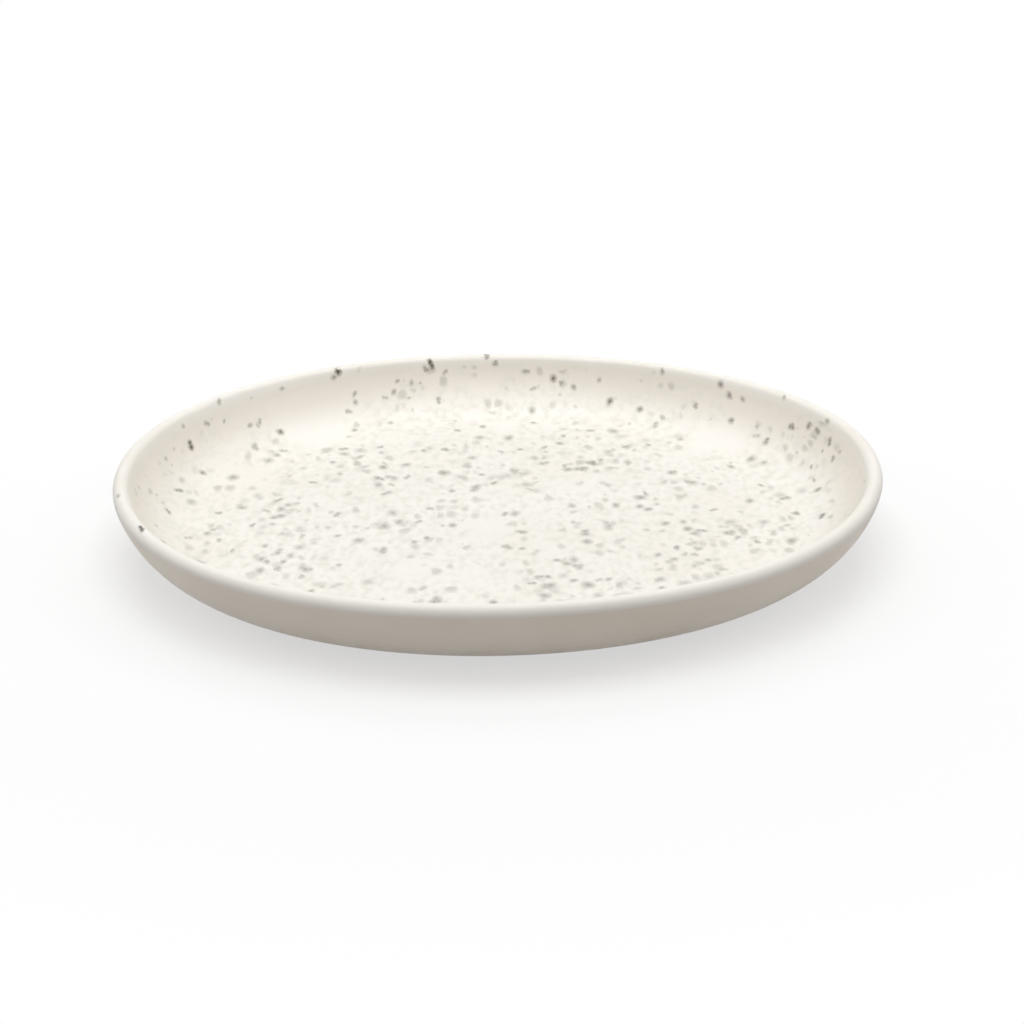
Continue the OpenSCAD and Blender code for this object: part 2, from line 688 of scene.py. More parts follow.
class SectionPath:
    """Points of a section, as radius and height, with the solid on the right of the way taken.

    Attributes:
        points: The points so far.
    """

    def __init__(self) -> None:
        """Start without a point."""
        self.points: list[Point] = []

    def line(self, *ends: Point) -> "SectionPath":
        """Go straight through the given points."""
        self.points.extend(ends)
        return self

    def arc(self, centre: Point, radius: float, start: float, end: float, steps: int) -> "SectionPath":
        """Go round part of a circle.

        Args:
            centre: Centre of the circle.
            radius: Its radius.
            start: First angle, in degrees from the outward direction.
            end: Last angle.
            steps: Number of chords.

        Returns:
            The path itself.
        """
        for k in range(steps + 1):
            angle = math.radians(start + (end - start) * k / steps)
            self.points.append((centre[0] + radius * math.cos(angle), centre[1] + radius * math.sin(angle)))
        return self

    def less_last(self) -> "SectionPath":
        """Take back the last point, where the next stretch begins with it."""
        self.points.pop()
        return self

    def closed(self) -> "SectionPath":
        """Go back to the first point."""
        return self.line(self.points[0])


@dataclass(frozen=True)
class PlateSection:
    """Sizes of the plate's section, in metres, and two directions of it, in degrees.

    The overall sizes come from the frame. The radii are the ones that the frame was turned with.

    Attributes:
        rim_r: Radius of the plate.
        rim_z: Height of the lip.
        well_z: Height of the well's floor.
        under_z: Height of the finished underside.
        stop_z: Height at which the coats end on the foot ring.
        coat: Thickness of the glaze.
        lip_r: Radius of the rounded lip.
        heel_r: Radius of the outside curve.
        cove_r: Radius of the inside curve.
        foot_r: Outer radius of the foot ring over its glaze.
        foot_w: Width of the foot ring over its glaze.
        root_r: Radius of the hollows at the root of the foot ring.
        edge_r: Radius of the foot ring's lower edges.
        heel_end: Direction in which the outside curve runs into the lip.
        cove_end: Direction in which the inside curve runs into the lip.
        ring_gap: Widest ring of faces on a flat stretch.
    """

    rim_r: float
    rim_z: float
    well_z: float
    under_z: float
    stop_z: float
    coat: float
    lip_r: float = mm(2.2)
    heel_r: float = mm(24.5)
    cove_r: float = mm(20.8)
    foot_r: float = mm(69.0)
    foot_w: float = mm(5.6)
    root_r: float = mm(1.2)
    edge_r: float = mm(0.8)
    heel_end: float = -math.degrees(math.asin(7 / 25))
    cove_end: float = -math.degrees(math.asin(44 / 125))
    ring_gap: float = mm(3.5)

    # Chords of each curve.
    COVE_STEPS: ClassVar[int] = 26
    LIP_STEPS: ClassVar[int] = 22
    HEEL_STEPS: ClassVar[int] = 32
    CORNER_STEPS: ClassVar[int] = 8
    # Swell of a coat's rounded end, as a share of the coat's thickness.
    BEAD_SWELL: ClassVar[float] = 0.35

    @classmethod
    def from_frame(cls) -> "PlateSection":
        """Read the overall sizes from the frame.

        Returns:
            The section.
        """
        inner_low, inner_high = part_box(CadNode.INNER.value)
        recess_low, recess_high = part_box(CadNode.RECESS.value)
        mounts = {m["name"]: m for m in frame["record"]["mounts"]}
        well_z = mounts["well_floor"]["pos_m"][2]
        coat = well_z - inner_low.z
        return cls(rim_r=(inner_high.x - inner_low.x) / 2, rim_z=inner_high.z, well_z=well_z,
                   under_z=recess_high.z - coat, stop_z=recess_low.z, coat=coat)

    @property
    def lip_c(self) -> Point:
        """Centre of the rounded lip."""
        return self.rim_r - self.lip_r, self.rim_z - self.lip_r

    @property
    def heel_c(self) -> Point:
        """Centre of the outside curve."""
        return self.from_lip(self.heel_end, self.heel_r - self.lip_r)

    @property
    def cove_c(self) -> Point:
        """Centre of the inside curve."""
        return self.from_lip(self.cove_end, self.cove_r + self.lip_r)

    @property
    def root_z(self) -> float:
        """Height of the hollows' centres at the root of the foot ring."""
        return self.under_z - self.root_r

    @property
    def outer_root(self) -> Point:
        """Centre of the hollow outside the foot ring."""
        return self.foot_r + self.root_r, self.root_z

    @property
    def inner_root(self) -> Point:
        """Centre of the hollow inside the foot ring."""
        return self.foot_r - self.foot_w - self.root_r, self.root_z

    def from_lip(self, angle: float, distance: float) -> Point:
        """Return the point at a distance back from the lip's centre, against an angle in degrees."""
        turn = math.radians(angle)
        return self.lip_c[0] - distance * math.cos(turn), self.lip_c[1] - distance * math.sin(turn)

    def disc(self, radius: float, height: float) -> SectionPath:
        """Return a flat disc from the axis almost out to a radius, in even rings."""
        rings = math.ceil(radius / self.ring_gap)
        return SectionPath().line(*((radius * k / rings, height) for k in range(rings)))

    def face(self, inset: float) -> SectionPath:
        """Draw the eating face from the axis out over the lip.

        Args:
            inset: Depth under the finished surface.

        Returns:
            The path, ended where the lip meets the heel.
        """
        path = self.disc(self.cove_c[0], self.well_z - inset)
        path.arc(self.cove_c, self.cove_r + inset, -90.0, self.cove_end, self.COVE_STEPS).less_last()
        return path.arc(self.lip_c, self.lip_r - inset, 180.0 + self.cove_end, self.heel_end, self.LIP_STEPS)

    def on_face(self, along: float) -> Point:
        """Find a point of the eating face.

        Args:
            along: Its distance from the axis, along the section.

        Returns:
            The point.
        """
        path = self.face(0.0).points
        for start, end in zip(path, path[1:]):
            step = math.dist(start, end)
            if along <= step:
                share = along / step
                return start[0] + (end[0] - start[0]) * share, start[1] + (end[1] - start[1]) * share
            along -= step
        return path[-1]

    def heel(self, path: SectionPath, inset: float) -> SectionPath:
        """Add the outside curve from the lip down to the underside."""
        return path.arc(self.heel_c, self.heel_r - inset, self.heel_end, -90.0, self.HEEL_STEPS)

    def corner(self, path: SectionPath, centre: Point, radius: float, start: float,
               end: float) -> SectionPath:
        """Add one of the foot ring's rounded corners."""
        return path.arc(centre, radius, start, end, self.CORNER_STEPS)

    def bead(self, path: SectionPath, side_r: float, outward: float) -> SectionPath:
        """Add the soft roll in which a coat ends on the foot ring.

        Args:
            path: The path so far, on the coat's finished side.
            side_r: Radius of the coat's finished side.
            outward: 1 on the ring's outer side, -1 on its inner side.

        Returns:
            The path, ended on the clay.
        """
        swell = self.coat * self.BEAD_SWELL
        height = self.root_z - self.stop_z
        for k in range(self.CORNER_STEPS + 1):
            turn = math.pi * k / self.CORNER_STEPS
            left = (1.0 + math.cos(turn)) / 2
            reach = (self.coat + swell * math.sin(turn)) * left
            path.line((side_r - outward * (self.coat - reach), self.stop_z + height * left))
        return path

    def body(self) -> SectionPath:
        """Draw the clay's outline, from the axis over the top and back underneath.

        Returns:
            The path.
        """
        path = self.heel(self.face(self.coat).less_last(), self.coat)
        hollow = self.root_r + self.coat
        outer = self.foot_r - self.coat - self.edge_r
        inner = self.foot_r - self.foot_w + self.coat + self.edge_r
        self.corner(path, self.outer_root, hollow, 90.0, 180.0)
        self.corner(path, (outer, self.edge_r), self.edge_r, 0.0, -90.0)
        self.corner(path, (inner, self.edge_r), self.edge_r, -90.0, -180.0)
        self.corner(path, self.inner_root, hollow, 0.0, 90.0)
        return path.line((0.0, self.under_z + self.coat))

    def inner_coat(self) -> SectionPath:
        """Return the closed outline of the coat on the eating face and the lip."""
        return self.face(0.0).line(*reversed(self.face(self.coat).points))

    def outer_coat(self) -> SectionPath:
        """Draw the coat on the outside.

        Returns:
            Its closed outline.
        """
        path = self.heel(SectionPath(), 0.0)
        self.corner(path, self.outer_root, self.root_r, 90.0, 180.0).less_last()
        self.bead(path, self.foot_r, 1.0)
        back = self.heel(SectionPath(), self.coat)
        self.corner(back, self.outer_root, self.root_r + self.coat, 90.0, 180.0)
        return path.line(*reversed(back.points)).closed()

    def recess_coat(self) -> SectionPath:
        """Draw the coat inside the foot ring.

        Returns:
            Its closed outline.
        """
        under = self.disc(self.inner_root[0], self.under_z)
        self.corner(under, self.inner_root, self.root_r, 90.0, 0.0).less_last()
        self.bead(under, self.foot_r - self.foot_w, -1.0)
        top = self.disc(self.inner_root[0], self.under_z + self.coat)
        self.corner(top, self.inner_root, self.root_r + self.coat, 90.0, 0.0)
        return top.line(*reversed(under.points))


def plain_piece(name: str, maker: Object) -> Object:
    """Turn an object's evaluated result into a plain mesh piece, and remove the maker.

    Args:
        name: Name of the piece.
        maker: The object whose modifier makes the mesh.

    Returns:
        The piece, with smooth faces and sharp corners.
    """
    bpy.context.view_layer.update()
    ready = maker.evaluated_get(bpy.context.evaluated_depsgraph_get())
    mesh = bpy.data.meshes.new_from_object(ready)
    bpy.data.objects.remove(maker)
    mesh.name = name
    mesh.shade_smooth()
    mesh.set_sharp_from_angle(angle=SHARP_ANGLE)
    return new_object(name, mesh)


def run_tree(name: str, mesh: Mesh, tree: NodeTree, values: Mapping[str, Any]) -> Object:
    """Run a geometry tree on a mesh.

    Args:
        name: Name of the piece.
        mesh: The mesh that goes into the tree.
        tree: The geometry tree.
        values: The tree's input name to its value.

    Returns:
        The plain piece.
    """
    maker = new_object(f"{name}_maker", mesh)
    modifier = maker.modifiers.new(tree.name, "NODES")
    modifier.node_group = tree
    for item in tree.interface.items_tree:
        if item.in_out == "INPUT" and item.name in values:
            modifier[item.identifier] = values[item.name]
    return plain_piece(name, maker)


class Wave(NamedTuple):
    """A wave round the plate.

    Attributes:
        count: Number of crests.
        phase: Its phase, in radians.
        share: Height of the wave, beside the others that it is added to.
    """

    count: float
    phase: float
    share: float


class WheelTree(GroupSheet):
    """The geometry tree that turns the points of a section round the axis and warps the result."""

    # Waves that lift the lip, that take it off a true circle, and along which the coats end.
    # Another program fitted the first two to the photographed outline.
    LIFT = (Wave(2.0, 0.62, 1.0), Wave(3.0, -1.4, 1.0), Wave(4.0, -0.14, 0.45))
    SWELL = (Wave(2.0, 0.06, 1.0), Wave(3.0, 0.4, 1.0), Wave(4.0, 2.9, 0.7))
    WANDER = (Wave(5.0, 1.3, 0.6), Wave(9.0, 0.2, 0.4), Wave(17.0, 2.9, 0.25))
    # Distance within which two points become one.
    SAME_POINT = mm(0.002)

    def __init__(self) -> None:
        """Build the tree."""
        numbers = ("Warp Height", "Warp Radius", "Still Radius", "Rim Radius", "Line Wander", "Line Height")
        super().__init__("potters_wheel", TreeKind.GEOMETRY,
                         {"Section": SocketKind.SHAPE, "Section Points": SocketKind.COUNT,
                          "Segments": SocketKind.COUNT, **dict.fromkeys(numbers, SocketKind.NUMBER),
                          "Material": SocketKind.FINISH}, {"Piece": SocketKind.SHAPE})
        take = self.take
        columns = self.math("ADD", take["Segments"], 1.0)
        grid = self.out("GeometryNodeMeshGrid", {"Vertices X": take["Section Points"], "Vertices Y": columns})
        index = self.out("GeometryNodeInputIndex")
        row = self.math("FLOOR", self.math("DIVIDE", self.math("ADD", index, 0.5), columns))
        column = self.math("SUBTRACT", index, self.times(row, columns))
        angle = self.math("DIVIDE", self.times(column, FULL_TURN), take["Segments"])
        place = self.out("GeometryNodeInputPosition")
        point = self.out("GeometryNodeSampleIndex",
                         {"Geometry": take["Section"], "Value": place, "Index": row},
                         data_type="FLOAT_VECTOR", domain="POINT")
        true_r, _, true_z = self.split(point)
        share = self.ramp(true_r, take["Still Radius"], take["Rim Radius"])
        low = self.ramp(true_z, 0.0, take["Line Height"], 1.0, 0.0)
        radius = self._strayed(true_r, angle, self.SWELL, take["Warp Radius"], share)
        height = self._strayed(true_z, angle, self.LIFT, take["Warp Height"], share)
        height = self._strayed(height, angle, self.WANDER, take["Line Wander"], low)
        spot = self.join(self.times(radius, self.math("COSINE", angle)),
                         self.times(radius, self.math("SINE", angle)), height)
        piece = self.out("GeometryNodeSetPosition", {"Geometry": grid, "Position": spot})
        piece = self.out("GeometryNodeMergeByDistance", {"Geometry": piece, "Distance": self.SAME_POINT})
        piece = self.out("GeometryNodeRealizeInstances", {"Geometry": piece})
        finish = {"Geometry": piece, "Material": take["Material"]}
        self.put("Piece", self.out("GeometryNodeSetMaterial", finish))

    def _strayed(self, value: NodeSocket, angle: NodeSocket, waves: Iterable[Wave], size: NodeSocket,
                 share: NodeSocket) -> NodeSocket:
        """Add a sum of waves to a radius or a height.

        Args:
            value: The true radius or height.
            angle: Angle round the axis.
            waves: The waves.
            size: Height of a wave whose share is 1.
            share: How much of the sum is added, from 0 to 1.

        Returns:
            The radius or height with the waves.
        """
        total: Any = 0.0
        for wave in waves:
            crest = self.math("COSINE", self.math("MULTIPLY_ADD", angle, wave.count, wave.phase))
            total = self.math("MULTIPLY_ADD", crest, wave.share, total)
        return self.math("MULTIPLY_ADD", self.times(total, size), share, value)


@dataclass
class Wheel:
    """The lathe that turns a section into a piece, with the slight warp of a fired plate.

    Attributes:
        section: The plate's section.
        segments: Steps round the axis.
        warp_height: How far one main wave lifts the lip, in metres.
        warp_radius: How far one main wave takes the lip off a true circle, in metres.
        line_wander: How far the lower edge of a coat wanders up and down, in metres.
        lathe: The geometry tree.
    """

    section: PlateSection
    segments: int = 240
    warp_height: float = mm(0.34)
    warp_radius: float = mm(0.18)
    line_wander: float = mm(0.12)
    lathe: WheelTree = field(default_factory=WheelTree)

    def turn(self, name: str, path: SectionPath, material: Material | None = None,
             wander: bool = False) -> Object:
        """Turn a section into a piece.

        Args:
            name: Name of the piece.
            path: The section.
            material: The piece's material.
            wander: True where the piece has a lower edge of glaze.

        Returns:
            The piece.
        """
        mesh = bpy.data.meshes.new(f"{name}_section")
        mesh.from_pydata([(r, 0.0, z) for r, z in path.points], [], [])
        return run_tree(name, mesh, self.lathe.tree, {
            "Section Points": len(path.points), "Segments": self.segments,
            "Warp Height": self.warp_height, "Warp Radius": self.warp_radius,
            "Still Radius": self.section.foot_r, "Rim Radius": self.section.rim_r,
            "Line Wander": self.line_wander if wander else 0.0, "Line Height": self.section.root_z,
            "Material": material})


class FleckTree(GroupSheet):
    """The geometry tree that scatters flecks over a face and moulds each one to it.

    A fleck is one of three blanks: one lens, a pair, or a group of three. Each lens of a blank is given
    by its place and its size, in half widths of the fleck.
    """

    LONE = ((0.0, 0.0, 1.0),)
    PAIR = ((0.2, 0.06, 0.9), (-0.36, -0.1, 0.75))
    TRIO = ((-0.22, 0.0, 0.85), (0.26, 0.2, 0.75), (0.14, -0.28, 0.65))
    # Sides of a lens, its rings of faces, and the height above which a point is on its upper side.
    LENS_SIDES = 10
    LENS_RINGS = 3
    LENS_BASE = 0.01
    # How strongly the draw favours the first blank, and a number just under the count of blanks.
    FIRST_BLANK_BIAS = 1.8
    UNDER_THREE = 2.99
    # How far a fleck may be stretched one way and narrowed the other.
    MOST_STRETCH = 1.25
    # How squarely the face looks up on the wall and on the floor of the well.
    WALL_EDGE: Span = (0.75, 0.97)
    # Half widths between which a placed fleck grows stronger, and its strength before that.
    PLACED_SIZES: Span = (mm(1.0), mm(2.0))
    LEAST_PLACED = 0.62
    # Changes per metre in how far an outline strays, and the middle of the noise that makes it.
    RAGGED_SCALE = 1300.0
    NOISE_MIDDLE: Place = (0.5, 0.5, 0.5)

    def __init__(self) -> None:
        """Build the tree."""
        numbers = ("Density", "Spacing", "Smallest", "Largest", "Unevenness", "On Wall", "Faintest",
                   "Boldest", "Placed Strength", "Relief", "Raggedness", "Drawn Out")
        super().__init__("fleck_scatter", TreeKind.GEOMETRY,
                         {"Face": SocketKind.SHAPE, "Seed": SocketKind.COUNT,
                          **dict.fromkeys(numbers, SocketKind.NUMBER), "Material": SocketKind.FINISH},
                         {"Flecks": SocketKind.SHAPE})
        size = self._size()
        stretch = self._random(Draw.STRETCH, 1.0, self.MOST_STRETCH)
        scale = self.join(self.times(size, stretch), self.math("DIVIDE", size, stretch), size)
        draw = self.math("POWER", self._random(Draw.BLANK), self.FIRST_BLANK_BIAS)
        pick = self.math("FLOOR", self.times(draw, self.UNDER_THREE))
        flecks = self.out("GeometryNodeInstanceOnPoints",
                          {"Points": self._spots(), "Instance": self._blanks(), "Pick Instance": True,
                           "Instance Index": pick, "Rotation": self._lie(), "Scale": scale})
        flecks = self._store(flecks, Mark.SHADE, self._shade(), "INSTANCE")
        flecks = self._store(flecks, Mark.SIZE, size, "INSTANCE")
        flecks = self._store(flecks, Mark.MIDDLE, self._position(), "INSTANCE", "FLOAT_VECTOR")
        flecks = self._mould(self.out("GeometryNodeRealizeInstances", {"Geometry": flecks}))
        finish = {"Geometry": flecks, "Material": self.take["Material"]}
        self.put("Flecks", self.out("GeometryNodeSetMaterial", finish))

    def _position(self) -> NodeSocket:
        """Return each point's place."""
        return self.out("GeometryNodeInputPosition")

    def _named(self, mark: Mark, kind: str = "FLOAT") -> NodeSocket:
        """Return a stored value."""
        return self.out("GeometryNodeInputNamedAttribute", {"Name": mark.value}, data_type=kind)

    def _store(self, shape: NodeSocket, mark: Mark, value: Any, domain: str,
               kind: str = "FLOAT") -> NodeSocket:
        """Return a shape with a value stored on it."""
        inputs = {"Geometry": shape, "Name": mark.value, "Value": value}
        return self.out("GeometryNodeStoreNamedAttribute", inputs, data_type=kind, domain=domain)

    def _nearest(self, place: NodeSocket, value: NodeSocket, kind: str = "FLOAT_VECTOR") -> NodeSocket:
        """Return a value of the face at the point of it that is nearest to a place."""
        inputs = {"Mesh": self.take["Face"], "Value": value, "Sample Position": place}
        return self.out("GeometryNodeSampleNearestSurface", inputs, data_type=kind)

    def _normal(self, place: NodeSocket) -> NodeSocket:
        """Return the way that the face looks at a place."""
        return self._nearest(place, self.out("GeometryNodeInputNormal"))

    def _random(self, draw: Draw, low: float = 0.0, high: float = 1.0) -> NodeSocket:
        """Return a random number for each fleck."""
        inputs = {"Min": low, "Max": high, "ID": self.out("GeometryNodeInputIndex"), "Seed": draw.value}
        return self.out("FunctionNodeRandomValue", inputs, data_type="FLOAT")

    def _is_placed(self) -> NodeSocket:
        """Return 1 for the placed flecks and 0 for the scattered ones."""
        return self.math("GREATER_THAN", self._named(Mark.CHOSEN), 0.0)

    def _either(self, scattered: NodeSocket, placed: NodeSocket) -> NodeSocket:
        """Return one value for the scattered flecks and another for the placed ones."""
        inputs = {"Switch": self._is_placed(), "False": scattered, "True": placed}
        return self.out("GeometryNodeSwitch", inputs, input_type="FLOAT")

    def _joined(self, shapes: Iterable[NodeSocket]) -> NodeSocket:
        """Join shapes.

        Args:
            shapes: The shapes, in the order in which they are linked.

        Returns:
            The joined shape.
        """
        node = self.add("GeometryNodeJoinGeometry")
        for shape in shapes:
            self.feed(node.inputs[0], shape)
        return node.outputs[0]

    def _size(self) -> NodeSocket:
        """Draw the scattered flecks' half widths, smaller on the wall, and keep those of the placed ones.

        Returns:
            The half width.
        """
        draw = self.math("POWER", self._random(Draw.SIZE), self.take["Unevenness"])
        size = self.ramp(draw, 0.0, 1.0, self.take["Smallest"], self.take["Largest"])
        level = self.split(self._normal(self._position()))[2]
        flatness = self.ramp(level, *self.WALL_EDGE, self.take["On Wall"], 1.0)
        return self._either(self.times(size, flatness), self._named(Mark.CHOSEN))

    def _shade(self) -> NodeSocket:
        """Draw each fleck's strength, which for the placed ones follows their size.

        Returns:
            The strength.
        """
        drawn = self.ramp(self._random(Draw.SHADE), 0.0, 1.0, self.take["Faintest"], self.take["Boldest"])
        placed = self.ramp(self._named(Mark.CHOSEN), *self.PLACED_SIZES, self.LEAST_PLACED,
                           self.take["Placed Strength"])
        return self._either(drawn, placed)

    def _spots(self) -> NodeSocket:
        """Set the points of the flecks: the placed ones, and those scattered by density.

        Returns:
            The points.
        """
        face = self.take["Face"]
        placed = self.out("GeometryNodeMeshToPoints", {"Mesh": face, "Selection": self._is_placed()})
        scattered = self.out("GeometryNodeDistributePointsOnFaces",
                             {"Mesh": face, "Distance Min": self.take["Spacing"],
                              "Density Max": self.take["Density"],
                              "Density Factor": self._named(Mark.DENSITY), "Seed": self.take["Seed"]},
                             distribute_method="POISSON")
        return self._joined((placed, scattered))

    def _lie(self) -> NodeSocket:
        """Lay each fleck flat on the face, with a random spin.

        Returns:
            The turn.
        """
        normal = self._normal(self._position())
        flat = self.out("FunctionNodeAlignRotationToVector", {"Vector": normal}, axis="Z")
        spin = self.out("FunctionNodeAxisAngleToRotation",
                        {"Axis": (0.0, 0.0, 1.0), "Angle": self._random(Draw.SPIN, 0.0, FULL_TURN)})
        return self.out("FunctionNodeRotateRotation", {"Rotation": flat, "Rotate By": spin},
                        rotation_space="LOCAL")

    def _blanks(self) -> NodeSocket:
        """Return the three blanks to pick from."""
        lens = self._lens()
        return self._joined(self._blank(lens, lenses) for lenses in (self.TRIO, self.PAIR, self.LONE))

    def _blank(self, lens: NodeSocket, lenses: Iterable[tuple[float, float, float]]) -> NodeSocket:
        """Make one blank.

        Args:
            lens: The lens that it is made of.
            lenses: Place and size of each of its lenses.

        Returns:
            The blank, as one instance.
        """
        moved = (self.out("GeometryNodeTransform", {"Geometry": lens, "Translation": (x, y, 0.0),
                                                    "Scale": (size, size, 1.0)}) for x, y, size in lenses)
        return self.out("GeometryNodeGeometryToInstance", {"Geometry": self._joined(moved)})

    def _lens(self) -> NodeSocket:
        """Make one flat lens, closed all round, that stores its height and its nearness to the middle.

        Returns:
            The lens.
        """
        cone = self.out("GeometryNodeMeshCone",
                        {"Vertices": self.LENS_SIDES, "Side Segments": self.LENS_RINGS,
                         "Fill Segments": self.LENS_RINGS, "Radius Top": 0.0, "Radius Bottom": 1.0,
                         "Depth": 1.0}, fill_type="TRIANGLE_FAN")
        x, y, z = self.split(self._position())
        core = self.math("SUBTRACT", 1.0, self.from_axis(x, y))
        upper = self.math("GREATER_THAN", z, self.LENS_BASE)
        rise = self.times(core, self.ramp(upper, 0.0, 1.0, -1.0, 1.0))
        lens = self._store(cone, Mark.RISE, rise, "POINT")
        lens = self._store(lens, Mark.CORE, core, "POINT")
        return self.out("GeometryNodeSetPosition", {"Geometry": lens, "Position": self.join(x, y, 0.0)})

    def _drawn_out(self) -> NodeSocket:
        """Draw each fleck out from front to back.

        Returns:
            The places of its points.
        """
        middle = self._named(Mark.MIDDLE, "FLOAT_VECTOR")
        away = self.vector("SUBTRACT", self._position(), middle)
        return self.vector("MULTIPLY_ADD", away, self.join(1.0, self.take["Drawn Out"], 1.0), middle)

    def _mould(self, flecks: NodeSocket) -> NodeSocket:
        """Give the flecks ragged outlines and lay them on the face, the stronger ones higher.

        Args:
            flecks: The flecks as plain meshes.

        Returns:
            The flecks on the face, with its density stored on them.
        """
        place = self._drawn_out()
        jitter = self.noise(place, self.RAGGED_SCALE, detail=1.0, output="Color")
        strength = self.times(self.take["Raggedness"], self._named(Mark.SIZE))
        shift = self.scaled(self.vector("SUBTRACT", jitter, self.NOISE_MIDDLE), strength)
        ragged = self.vector("ADD", place, shift)
        rise = self.times(self.times(self._named(Mark.RISE), self._named(Mark.SHADE)), self.take["Relief"])
        lift = self.scaled(self._normal(ragged), rise)
        laid = self.vector("ADD", self._nearest(ragged, self._position()), lift)
        crowd = self._nearest(ragged, self._named(Mark.DENSITY), "FLOAT")
        flecks = self._store(flecks, Mark.DENSITY, crowd, "POINT")
        return self.out("GeometryNodeSetPosition", {"Geometry": flecks, "Position": laid})


@dataclass(frozen=True)
class Patch:
    """A round patch of the eating face where flecks lie closer or further apart.

    Attributes:
        x: Place to the right of the axis, in millimetres.
        y: Place behind the axis, in millimetres.
        reach: Radius over which the patch fades, in millimetres.
        weight: Share of the closest density that it adds, or takes away where it is negative.
    """

    x: float
    y: float
    reach: float
    weight: float

    def at(self, x: float, y: float) -> float:
        """Return what the patch adds at a place, in millimetres."""
        away = ((x - self.x) ** 2 + (y - self.y) ** 2) / self.reach ** 2
        return self.weight * math.exp(-away)


@dataclass(frozen=True)
class BoldFleck:
    """A strong fleck with a place of its own.

    Another program worked the places out from the photograph. They are rounded to halves.

    Attributes:
        bearing: Direction from the axis, in degrees to the left of straight back, as seen from in front.
        along: Distance from the axis along the section of the eating face, in millimetres.
        size: Half width, in millimetres.
    """

    bearing: float
    along: float
    size: float

    def place(self, section: PlateSection) -> Place:
        """Find the fleck's place on the eating face.

        Args:
            section: The plate's section.

        Returns:
            The place, in metres.
        """
        radius, height = section.on_face(mm(self.along))
        turn = math.radians(90.0 + self.bearing)
        return radius * math.cos(turn), radius * math.sin(turn), height


